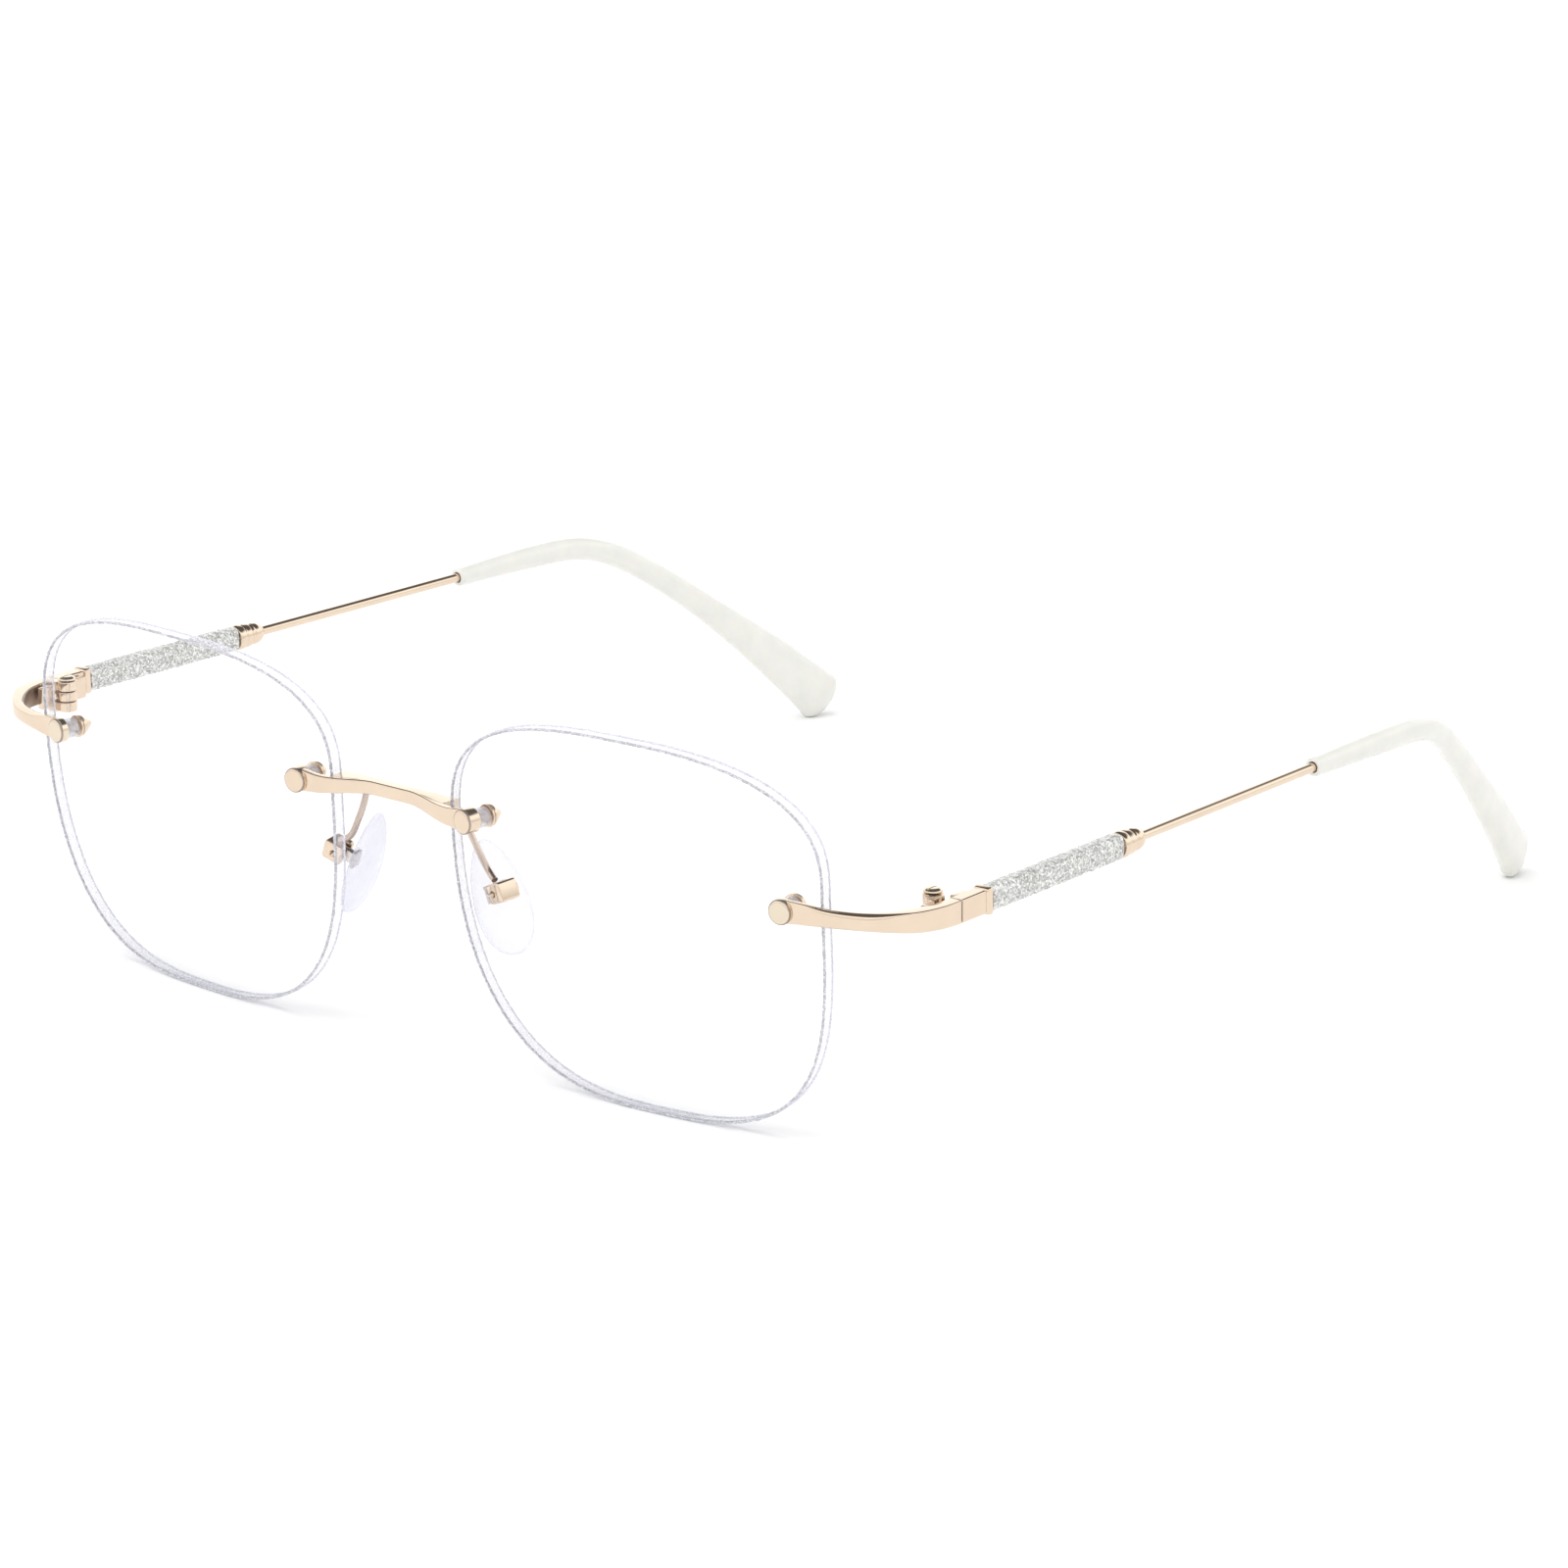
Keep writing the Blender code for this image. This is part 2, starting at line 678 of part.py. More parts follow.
for old in list(bpy.data.objects):
    bpy.data.objects.remove(old)
parts = collection("rimless_eyeglasses")
cutters = collection("cutters")
cutters.hide_render = True
looks = {
    "gold": material("rose_gold", (0.86, 0.62, 0.50), 1.0, 0.18),
    "lens": material("clear_lens", (0.97, 0.98, 1.0), 0.0, 0.02, 0.95),
    "silicone": material("clear_silicone", (0.93, 0.93, 0.96), 0.0, 0.25, 0.85),
    "glitter": material("silver_glitter", (0.75, 0.76, 0.78), 0.6, 0.35),
    "ivory": material("ivory_acetate", (0.90, 0.88, 0.80), 0.0, 0.2),
    "nylon": material("clear_nylon", (0.85, 0.85, 0.85), 0.0, 0.3, 0.5),
    "steel": material("pad_core_steel", (0.70, 0.68, 0.66), 1.0, 0.3),
}
build()
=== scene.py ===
"""Looks for the rimless eyeglasses: polished rose gold, clear lenses with a glitter rim,
crystal sleeves on the temples, ivory tips and clear silicone pads.

Shapes are made in millimetres in the drawing's own frame and moved into the row frame by
finish_piece. Paired pieces are modelled on the wearer's left (+X) and mirrored.
"""

import random
from math import atan2, cos, hypot, pi, radians, sin, sqrt

import bmesh
import bpy
from mathutils import Euler, Matrix, Vector
from mathutils.geometry import delaunay_2d_cdt


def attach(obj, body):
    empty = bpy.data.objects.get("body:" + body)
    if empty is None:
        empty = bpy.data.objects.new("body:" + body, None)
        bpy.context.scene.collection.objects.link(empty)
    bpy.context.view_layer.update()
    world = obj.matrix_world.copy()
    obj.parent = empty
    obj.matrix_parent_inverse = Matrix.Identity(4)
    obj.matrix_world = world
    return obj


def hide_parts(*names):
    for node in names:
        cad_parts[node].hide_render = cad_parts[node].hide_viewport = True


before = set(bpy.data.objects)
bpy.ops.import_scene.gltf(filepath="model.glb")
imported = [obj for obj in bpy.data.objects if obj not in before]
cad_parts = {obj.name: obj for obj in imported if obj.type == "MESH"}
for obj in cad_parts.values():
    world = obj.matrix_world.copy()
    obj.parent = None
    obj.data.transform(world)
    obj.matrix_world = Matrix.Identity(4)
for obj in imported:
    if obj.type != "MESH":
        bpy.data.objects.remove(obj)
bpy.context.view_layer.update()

MM = 0.001
DATUM_Y = -70.31  # where the drawing's Y = 0 lies in the scene
UP = Vector((0, 0, 1))
FLIP = Matrix.Diagonal((-1, 1, 1, 1))
WALL = 0.95  # brightness of the studio's white walls

# Dimensions that part.py also has
GAP = 0.12
LENS_HALF_WIDTH = 26.8
LENS_HALF_HEIGHT = 22.7
LENS_WIDEST = 9.0
LENS_CORNERS = {"top_out": 2.45, "top_in": 2.6, "bottom_in": 2.7, "bottom_out": 3.2}
LENS_RADIUS = 129.0
LENS_THICK = 1.6
LENS_PLACE = Vector((36.4, 0.15, 22.385))
WRAP = radians(4.3)
TILT = radians(5.3)
LENS_HOLE_R = 1.2
MOUNTS = (("bridge", (-22.61, 9.17), radians(6.0), -1.95),
          ("end", (22.05, 6.22), radians(-9.0), -1.3))
DISC_R = 1.5
DISC_BACK = -0.2
DISC_PROUD = 0.55
POST_R = 0.6
POST_END = 2.95
WASHER_R = 1.38
NUT_R = 1.3
NUT_LENGTH = 1.75
HINGE = Vector((70.0, 14.9, 0.0))
SEAM_Y = 15.1
KNUCKLES = ((26.5, 27.7), (27.82, 28.98), (29.1, 30.3))
TEMPLE_START = Vector((73.06, SEAM_Y + 0.15, 28.67))
TEMPLE_DIRECTION = Vector((-0.047, 1.0, 0.004)).normalized()
BLOCK_LENGTH = 5.4
SLEEVE_LENGTH = 24.4
FERRULE_LENGTH = 4.4
WIRE_R = 0.58
TIP_START = 68.6
PAD_BOX = Vector((13.2, 4.8, 21.8))
PAD_SPLAY = radians(12.3)
PAD_FRONTAL = radians(20.9)
PAD_ROLL = radians(5.9)
PAD_HALF = (3.75, 7.0, 1.2)


# ---------------------------------------------------------------- shapes in millimetres


def superellipse(angle, power):
    c, s = cos(angle), sin(angle)
    return (
        abs(c) ** (2 / power) * (1 if c >= 0 else -1),
        abs(s) ** (2 / power) * (1 if s >= 0 else -1),
    )


def smooth_path(points, steps):
    """Catmull-Rom points through rows of numbers, so that widths blend along with places."""
    rows = [points[0], *points, points[-1]]
    path = []
    for i in range(1, len(rows) - 2):
        for step in range(steps):
            t = step / steps
            path.append([
                0.5 * (2 * b + (c - a) * t + (2 * a - 5 * b + 4 * c - d) * t**2
                       + (3 * b - a - 3 * c + d) * t**3)
                for a, b, c, d in zip(*rows[i - 1:i + 3])
            ])
    return path + [list(points[-1])]


def oval(power, sides=48):
    """An outline maker: rounded sections of any half width and half height."""
    def outline(a, b):
        ring = [superellipse(2 * pi * (i + 0.5) / sides, power) for i in range(sides)]
        return [(x * a, y * b) for x, y in ring]
    return outline


def rounded(radius, corner=5):
    """An outline maker: flat sided sections with small round corners."""
    def outline(a, b):
        r = min(radius, 0.98 * a, 0.98 * b)
        corners = ((a - r, b - r), (r - a, b - r), (r - a, r - b), (a - r, r - b))
        ring = []
        for quarter, (x, y) in enumerate(corners):
            for step in range(corner + 1):
                angle = (quarter + step / corner) * pi / 2
                ring.append((x + r * cos(angle), y + r * sin(angle)))
        return ring
    return outline


def skin(shape, rings, closed=False, look=0):
    """Faces between each ring of vertices and the next, with one of the piece's materials."""
    pairs = list(zip(rings, rings[1:]))
    if closed:
        pairs.append((rings[-1], rings[0]))
    for low, high in pairs:
        count = len(low)
        for a in range(count):
            b = (a + 1) % count
            shape.faces.new((low[a], low[b], high[b], high[a])).material_index = look


def loft(rows, outline):
    """A solid through sections: rows of (x, y, z, half width, half height)."""
    places = [Vector(row[:3]) for row in rows]
    shape = bmesh.new()
    rings = []
    for i, row in enumerate(rows):
        along = (places[min(i + 1, len(rows) - 1)] - places[max(i - 1, 0)]).normalized()
        across = along.cross(UP).normalized()
        upward = across.cross(along)
        rings.append([shape.verts.new(places[i] + across * a + upward * b)
                      for a, b in outline(row[3], row[4])])
    skin(shape, rings)
    shape.faces.new(rings[0])
    shape.faces.new(rings[-1])
    return shape


def softened(profile, radius, closed=False):
    """A turning profile with its corners rounded off."""
    count = len(profile)
    points = []
    for i, (r, z) in enumerate(profile):
        here = Vector((r, z))
        if not closed and i in (0, count - 1):
            points.append((r, z))
            continue
        before, after = Vector(profile[i - 1]), Vector(profile[(i + 1) % count])
        reach = min(radius, (before - here).length * 0.45, (after - here).length * 0.45)
        start = here + (before - here).normalized() * reach
        end = here + (after - here).normalized() * reach
        for step in range(4):
            t = step / 3
            points.append(tuple(start * (1 - t) ** 2 + here * 2 * t * (1 - t) + end * t**2))
    return points


def turned(profile, place, turn=(0, 0, 0), steps=56, closed=False):
    """A profile of (radius, height) turned about local Z."""
    shape = bmesh.new()
    columns = []
    for step in range(steps):
        angle = 2 * pi * step / steps
        columns.append([shape.verts.new((r * cos(angle), r * sin(angle), z)) for r, z in profile])
    for i, column in enumerate(columns):
        after = columns[(i + 1) % steps]
        rows = range(len(profile) if closed else len(profile) - 1)
        for a in rows:
            b = (a + 1) % len(profile)
            shape.faces.new((column[a], column[b], after[b], after[a]))
    bmesh.ops.remove_doubles(shape, verts=shape.verts, dist=0.0001)
    bmesh.ops.dissolve_degenerate(shape, edges=shape.edges, dist=0.0001)
    matrix = Matrix.Translation(Vector(place)) @ Euler(turn).to_matrix().to_4x4()
    bmesh.ops.transform(shape, matrix=matrix, verts=shape.verts)
    return shape


def block(centre, size, turn=(0, 0, 0), bevel=0.12):
    """A box with rounded edges."""
    shape = bmesh.new()
    bmesh.ops.create_cube(shape, size=1)
    bmesh.ops.scale(shape, vec=size, verts=shape.verts)
    if bevel:
        bmesh.ops.bevel(shape, geom=shape.edges[:], offset=bevel, segments=4, profile=0.5,
                        affect="EDGES")
    matrix = Matrix.Translation(Vector(centre)) @ Euler(turn).to_matrix().to_4x4()
    bmesh.ops.transform(shape, matrix=matrix, verts=shape.verts)
    return shape


def rod(place, radius, low, high, turn=(0, 0, 0), bevel=0.0, steps=48):
    """A round bar along local Z from low to high."""
    profile = [(0, high), (radius, high), (radius, low), (0, low)]
    return turned(softened(profile, bevel) if bevel else profile, place, turn, steps)


def wire(points, radius, sides=24):
    return loft([(*point[:3], radius, radius) for point in points], oval(2.0, sides))


def scratch_object(shape):
    bmesh.ops.recalc_face_normals(shape, faces=shape.faces)
    mesh = bpy.data.meshes.new("scratch")
    shape.to_mesh(mesh)
    shape.free()
    made = bpy.data.objects.new("scratch", mesh)
    bpy.context.scene.collection.objects.link(made)
    return made


def combined(base, *steps):
    """One solid joined to or cut by others, given as (operation, shape) pairs."""
    made = scratch_object(base)
    operands = []
    for operation, shape in steps:
        modifier = made.modifiers.new("step", "BOOLEAN")
        modifier.operation = operation
        modifier.solver = "EXACT"
        modifier.object = scratch_object(shape)
        operands.append(modifier.object)
    graph = bpy.context.evaluated_depsgraph_get()
    mesh = bpy.data.meshes.new_from_object(made.evaluated_get(graph))
    result = bmesh.new()
    result.from_mesh(mesh)
    for obj in (made, *operands):
        bpy.data.objects.remove(obj)
    return result


# ---------------------------------------------------------------- pieces


def finish_piece(name, shape, look, body, slot, nodes=(), side=1, angle=38, flats=False):
    """One visible piece: placed in the row frame, shaded, and riding on its body."""
    matrix = Matrix.Translation((0, DATUM_Y * MM, 0)) @ Matrix.Scale(MM, 4)
    bmesh.ops.recalc_face_normals(shape, faces=shape.faces)
    mesh = bpy.data.meshes.new(name)
    shape.to_mesh(mesh)
    mesh.transform(matrix)
    if side < 0:
        mesh.transform(FLIP)
        mesh.flip_normals()
    for material in look if isinstance(look, list) else [look]:
        mesh.materials.append(material)
    if angle:
        mesh.shade_smooth()
        mesh.set_sharp_from_angle(angle=radians(angle))
    made = bpy.data.objects.new(name, mesh)
    bpy.context.scene.collection.objects.link(made)
    if flats:
        weigh = made.modifiers.new("even_flats", "WEIGHTED_NORMAL")
        weigh.keep_sharp = True
        weigh.weight = 80
    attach(made, body)
    if nodes:
        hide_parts(*nodes)
    return made


def pair(name, shape, look, body, slot, node=None, **options):
    """The same piece on the wearer's left and, mirrored, on the right."""
    made = []
    for side, label in ((1, "left"), (-1, "right")):
        nodes = [node if node == "bridge" else f"{node}_{label}"] if node else []
        made.append(finish_piece(f"{name}_{label}", shape, look, body.format(label), slot, nodes,
                                 side, **options))
    shape.free()
    return made


# ---------------------------------------------------------------- materials


def node(tree, kind, feeds=None, **settings):
    """A node with its settings, and its inputs fed by values or by other nodes' sockets."""
    made = tree.nodes.new("ShaderNode" + kind)
    for key, value in settings.items():
        setattr(made, key, value)
    for key, value in (feeds or {}).items():
        socket = made.inputs[key]
        if isinstance(value, bpy.types.NodeSocket):
            tree.links.new(value, socket)
        else:
            socket.default_value = value
    return made


def principled(name, **values):
    """A new material's tree and its Principled node, with constants set on its sockets."""
    made = bpy.data.materials.new(name)
    made.use_nodes = True
    shader = made.node_tree.nodes["Principled BSDF"]
    for key, value in values.items():
        shader.inputs[key.replace("_", " ")].default_value = value
    return made, made.node_tree, shader


def noise(tree, scale, detail=3.0, roughness=0.55, **settings):
    coords = node(tree, "TexCoord").outputs["Object"]
    return node(tree, "TexNoise", {"Vector": coords, "Scale": scale, "Detail": detail,
                                   "Roughness": roughness}, **settings)


def ramp(tree, source, stops):
    """A colour ramp through (position, colour) stops."""
    made = node(tree, "ValToRGB", {"Fac": source})
    elements = made.color_ramp.elements
    while len(elements) < len(stops):
        elements.new(0.5)
    for element, (position, colour) in zip(elements, stops):
        element.position = position
        element.color = (*colour, 1.0)
    return made.outputs["Color"]


def spread(tree, source, low, high):
    """Maps a 0 to 1 texture value to a range."""
    return node(tree, "MapRange", {"Value": source, "To Min": low, "To Max": high}).outputs[0]


def bump(tree, height, distance, strength=1.0):
    return node(tree, "Bump", {"Height": height, "Distance": distance,
                               "Strength": strength}).outputs["Normal"]


def gold_look(name, pale, deep, rough=(0.10, 0.20)):
    """Polished plating: slight tone drift, finger-worn roughness and hairline scratches."""
    made, tree, shader = principled(name, Metallic=1.0)
    drift = noise(tree, 180.0, 4.0)
    tree.links.new(ramp(tree, drift.outputs["Fac"], ((0.3, deep), (0.7, pale))),
                   shader.inputs["Base Color"])
    worn = noise(tree, 900.0, 5.0, 0.6)
    tree.links.new(spread(tree, worn.outputs["Fac"], *rough), shader.inputs["Roughness"])
    coords = node(tree, "TexCoord").outputs["Object"]
    drawn = node(tree, "Mapping", {"Vector": coords, "Scale": (6000.0, 500.0, 6000.0)})
    lines = node(tree, "TexNoise", {"Vector": drawn.outputs[0], "Scale": 1.0, "Detail": 2.0})
    tree.links.new(bump(tree, lines.outputs["Fac"], 0.0000012, 0.5), shader.inputs["Normal"])
    return made


def fleck_look(name, dark, mid, bright, cell, metallic, rough, tilt):
    """Crushed crystal under lacquer: cells that each have a tone and a tilt of their own."""
    made, tree, shader = principled(name, Metallic=metallic, Coat_Weight=0.5,
                                    Coat_Roughness=0.08)
    coords = node(tree, "TexCoord").outputs["Object"]
    cells = node(tree, "TexVoronoi", {"Vector": coords, "Scale": 1 / (cell * MM)})
    tone = node(tree, "SeparateColor", {"Color": cells.outputs["Color"]})
    tree.links.new(ramp(tree, tone.outputs[0], ((0.0, dark), (0.45, mid), (1.0, bright))),
                   shader.inputs["Base Color"])
    tree.links.new(spread(tree, tone.outputs[1], *rough), shader.inputs["Roughness"])
    lean = node(tree, "VectorMath", {0: cells.outputs["Color"], 1: (0.5, 0.5, 0.5)},
                operation="SUBTRACT")
    scaled = node(tree, "VectorMath", {0: lean.outputs[0], "Scale": tilt}, operation="SCALE")
    facing = node(tree, "NewGeometry").outputs["Normal"]
    tipped = node(tree, "VectorMath", {0: facing, 1: scaled.outputs[0]}, operation="ADD")
    even = node(tree, "VectorMath", {0: tipped.outputs[0]}, operation="NORMALIZE")
    tree.links.new(even.outputs[0], shader.inputs["Normal"])
    return made


def ivory_look():
    """Glossy ivory acetate: faint clouding, and a surface that isn't quite flat."""
    made, tree, shader = principled(
        "ivory_acetate", Subsurface_Weight=0.15, Subsurface_Scale=0.001, Coat_Weight=0.35,
        Coat_Roughness=0.06)
    cloud = noise(tree, 260.0, 4.0)
    tree.links.new(ramp(tree, cloud.outputs["Fac"],
                        ((0.3, (0.71, 0.71, 0.67)), (0.7, (0.77, 0.765, 0.715)))),
                   shader.inputs["Base Color"])
    worn = noise(tree, 1500.0, 3.0)
    tree.links.new(spread(tree, worn.outputs["Fac"], 0.16, 0.30), shader.inputs["Roughness"])
    wave = noise(tree, 420.0, 2.0)
    tree.links.new(bump(tree, wave.outputs["Fac"], 0.00002, 0.4), shader.inputs["Normal"])
    return made


def lens_look():
    """Clear lens: see-through, with a thin cool reflection that grows towards its edges."""
    made, tree, shader = principled("clear_lens", IOR=1.6)
    smear = noise(tree, 60.0, 3.0)
    tree.links.new(ramp(tree, smear.outputs["Fac"],
                        ((0.3, (0.86, 0.88, 0.95)), (0.7, (0.95, 0.95, 1.0)))),
                   shader.inputs["Base Color"])
    tree.links.new(spread(tree, smear.outputs["Fac"], 0.01, 0.04), shader.inputs["Roughness"])
    clear = node(tree, "BsdfTransparent")
    facing = node(tree, "LayerWeight", {"Blend": 0.06})
    mix = node(tree, "MixShader", {0: facing.outputs["Fresnel"], 1: clear.outputs[0],
                                   2: shader.outputs[0]})
    tree.links.new(mix.outputs[0], tree.nodes["Material Output"].inputs["Surface"])
    return made


def edge_look():
    """The lens' polished edge: lavender colour with fine streaks round it, painted light that
    stands in for the light the clear edge bends and reflects.
    """
    made, tree, shader = principled("lens_edge", IOR=1.6, Alpha=0.34)
    streak = noise(tree, 1400.0, 3.0)
    tree.links.new(ramp(tree, streak.outputs["Fac"],
                        ((0.3, (0.62, 0.62, 0.74)), (0.55, (0.78, 0.78, 0.88)), (0.75, (1, 1, 1)))),
                   shader.inputs["Base Color"])
    tree.links.new(spread(tree, streak.outputs["Fac"], 0.15, 0.4), shader.inputs["Roughness"])
    return made


def silicone_look():
    """Soft clear silicone: a faint lavender haze that thickens towards its outline, partly the
    silicone's own faint tint and mostly painted light that stands in for the light the clear pad
    bends at its edges.
    """
    made, tree, shader = principled("clear_silicone", IOR=1.41)
    haze = noise(tree, 500.0, 3.0)
    tree.links.new(ramp(tree, haze.outputs["Fac"],
                        ((0.3, (0.68, 0.68, 0.80)), (0.7, (0.78, 0.78, 0.89)))),
                   shader.inputs["Base Color"])
    tree.links.new(spread(tree, haze.outputs["Fac"], 0.12, 0.25), shader.inputs["Roughness"])
    wave = noise(tree, 700.0, 2.0)
    tree.links.new(bump(tree, wave.outputs["Fac"], 0.00001, 0.3), shader.inputs["Normal"])
    clear = node(tree, "BsdfTransparent")
    facing = node(tree, "LayerWeight", {"Blend": 0.35})
    cover = spread(tree, facing.outputs["Facing"], 0.13, 0.85)
    mix = node(tree, "MixShader", {0: cover, 1: clear.outputs[0], 2: shader.outputs[0]})
    tree.links.new(mix.outputs[0], tree.nodes["Material Output"].inputs["Surface"])
    return made


def nylon_look():
    made, tree, shader = principled("clear_nylon", IOR=1.5, Alpha=0.14)
    haze = noise(tree, 1600.0, 3.0)
    tree.links.new(ramp(tree, haze.outputs["Fac"],
                        ((0.3, (0.93, 0.93, 0.95)), (0.7, (1.0, 1.0, 1.0)))),
                   shader.inputs["Base Color"])
    tree.links.new(spread(tree, haze.outputs["Fac"], 0.2, 0.4), shader.inputs["Roughness"])
    return made


def floor_look():
    made, tree, shader = principled("studio_floor", Roughness=0.9, Specular_IOR_Level=0.0)
    grain = noise(tree, 3.0, 2.0)
    tree.links.new(ramp(tree, grain.outputs["Fac"],
                        ((0.3, (0.90, 0.90, 0.90)), (0.7, (0.915, 0.915, 0.915)))),
                   shader.inputs["Base Color"])
    return made


gold = gold_look("rose_gold", (0.79, 0.65, 0.51), (0.74, 0.60, 0.47))
# Painted shade: a darkened copy of the rose gold, put where dark lines of shade and dark reflection
# show on the metal.
painted_shade_gold = gold_look("painted_shade_gold", (0.42, 0.34, 0.29), (0.30, 0.24, 0.21), (0.3, 0.45))
dull_gold = gold_look("dull_gold", (0.66, 0.55, 0.48), (0.54, 0.45, 0.39), (0.2, 0.3))
pale_gold = gold_look("pale_gold", (0.78, 0.68, 0.54), (0.72, 0.62, 0.48), (0.08, 0.16))
steel = gold_look("pad_core_steel", (0.74, 0.71, 0.69), (0.62, 0.60, 0.60), (0.2, 0.35))
crystal = fleck_look("silver_glitter", (0.33, 0.33, 0.32), (0.53, 0.53, 0.51), (0.92, 0.92, 0.90),
                     0.22, 0.15, (0.15, 0.4), 0.6)
rim_glitter = fleck_look("rim_glitter", (0.40, 0.40, 0.44), (0.50, 0.50, 0.54), (0.72, 0.72, 0.77),
                         0.22, 0.1, (0.3, 0.5), 0.25)
# Painted light: a paler copy of the rim glitter for the back bead, lightened to stand in for the
# lens' reflections over it.
faint_glitter = fleck_look("faint_glitter", (0.62, 0.62, 0.67), (0.72, 0.72, 0.77),
                           (0.9, 0.9, 0.95), 0.22, 0.1, (0.3, 0.5), 0.25)
ivory = ivory_look()
clear_lens = lens_look()
lens_edge = edge_look()
silicone = silicone_look()
nylon = nylon_look()


# ---------------------------------------------------------------- lenses


def lens_matrix():
    """Local X is outward along the lens, Y is up it, and Z points to the front."""
    turn = Euler((pi / 2 + TILT, 0.0, WRAP)).to_matrix().to_4x4()
    return Matrix.Translation(LENS_PLACE) @ turn


def sag(x, y, radius=LENS_RADIUS):
    return radius - sqrt(radius**2 - x**2 - y**2)


def front(x, y):
    return -sag(x, y)


def back(x, y):
    return -LENS_THICK - sag(x, y, LENS_RADIUS - LENS_THICK)


def corner_power(x, y):
    level = "top" if y >= LENS_WIDEST else "bottom"
    return LENS_CORNERS[level + ("_out" if x >= 0 else "_in")]


def lens_reach(y):
    return LENS_HALF_HEIGHT - LENS_WIDEST if y >= LENS_WIDEST else LENS_HALF_HEIGHT + LENS_WIDEST


def lens_outline(count=288):
    outline = []
    for i in range(count):
        angle = 2 * pi * (i + 0.5) / count
        power = corner_power(cos(angle), LENS_WIDEST + sin(angle))
        x, y = superellipse(angle, power)
        outline.append(Vector((x * LENS_HALF_WIDTH, LENS_WIDEST + y * lens_reach(LENS_WIDEST + y))))
    return even_spacing(outline, count)


def even_spacing(loop, count):
    """Points an even distance apart round a closed loop."""
    points = loop + [loop[0]]
    lengths = [0.0]
    for a, b in zip(points, points[1:]):
        lengths.append(lengths[-1] + (b - a).length)
    spaced, segment = [], 0
    for i in range(count):
        target = lengths[-1] * i / count
        while lengths[segment + 1] < target:
            segment += 1
        share = (target - lengths[segment]) / (lengths[segment + 1] - lengths[segment])
        spaced.append(points[segment].lerp(points[segment + 1], share))
    return spaced


def inset(loop, distance):
    moved = []
    count = len(loop)
    for i, point in enumerate(loop):
        along = (loop[(i + 1) % count] - loop[i - 1]).normalized()
        moved.append(point + Vector((-along.y, along.x)) * distance)
    return moved


def circle(centre, radius, count=32):
    return [Vector((centre[0] + radius * cos(2 * pi * i / count),
                    centre[1] + radius * sin(2 * pi * i / count))) for i in range(count)]


def hole_shift(yaw):
    """How far a hole's centre moves across the lens from front to back."""
    axis = lens_matrix().to_3x3().inverted() @ Vector((sin(yaw), cos(yaw), 0.0))
    return axis.xy * (LENS_THICK / -axis.z)


def lens_face(shape, loop, holes, surface):
    """Triangles that fill the outline round the holes, on a curved surface."""
    points, edges = list(loop), [(i, (i + 1) % len(loop)) for i in range(len(loop))]
    for centre in holes:
        start, ring = len(points), circle(centre, LENS_HOLE_R)
        points += ring
        edges += [(start + i, start + (i + 1) % len(ring)) for i in range(len(ring))]
    pitch = 1.6
    reach = int(LENS_HALF_WIDTH / pitch) + 1
    for i in range(-reach, reach + 1):
        for j in range(-reach, reach + 1):
            x, y = (i + 0.5 * (j % 2)) * pitch, j * pitch
            power = corner_power(x, y)
            across, up = x / LENS_HALF_WIDTH, (y - LENS_WIDEST) / lens_reach(y)
            level = abs(across) ** power + abs(up) ** power
            clear = all(hypot(x - c[0], y - c[1]) > LENS_HOLE_R + 0.5 for c in holes)
            if level < 0.88 and clear:
                points.append(Vector((x, y)))
    flat, _, faces, _, _, _ = delaunay_2d_cdt(points, edges, [], 1, 0.00001)
    verts = [shape.verts.new((p.x, p.y, surface(p.x, p.y))) for p in flat]
    for face in faces:
        middle = sum((flat[i] for i in face), Vector((0, 0))) / len(face)
        if all((middle - Vector(c)).length > LENS_HOLE_R * 0.991 for c in holes):
            shape.faces.new([verts[i] for i in face])


def make_lens():
    shape = bmesh.new()
    outline = lens_outline()
    front_edge, back_edge = 0.30, 0.15
    front_loop, back_loop = inset(outline, front_edge), inset(outline, back_edge)
    front_holes = [Vector(hole) for _, hole, _, _ in MOUNTS]
    back_holes = [Vector(hole) + hole_shift(yaw) for _, hole, yaw, _ in MOUNTS]
    lens_face(shape, front_loop, front_holes, front)
    lens_face(shape, back_loop, back_holes, back)
    wall = [
        [shape.verts.new((p.x, p.y, front(p.x, p.y))) for p in front_loop],
        [shape.verts.new((p.x, p.y, front(p.x, p.y) - front_edge)) for p in outline],
        [shape.verts.new((p.x, p.y, back(p.x, p.y) + back_edge)) for p in outline],
        [shape.verts.new((p.x, p.y, back(p.x, p.y))) for p in back_loop],
    ]
    # The edge wall and the hole walls get the lens-edge look, whose lavender streaks are painted
    # light.
    skin(shape, wall, look=1)
    for near, far in zip(front_holes, back_holes):
        skin(shape, [
            [shape.verts.new((p.x, p.y, front(p.x, p.y))) for p in circle(near, LENS_HOLE_R)],
            [shape.verts.new((p.x, p.y, back(p.x, p.y))) for p in circle(far, LENS_HOLE_R)],
        ], look=1)
    bmesh.ops.remove_doubles(shape, verts=shape.verts, dist=0.0005)
    bmesh.ops.transform(shape, matrix=lens_matrix(), verts=shape.verts)
    pair("lens", shape, [clear_lens, lens_edge], "front", "clear_lens", "lens")


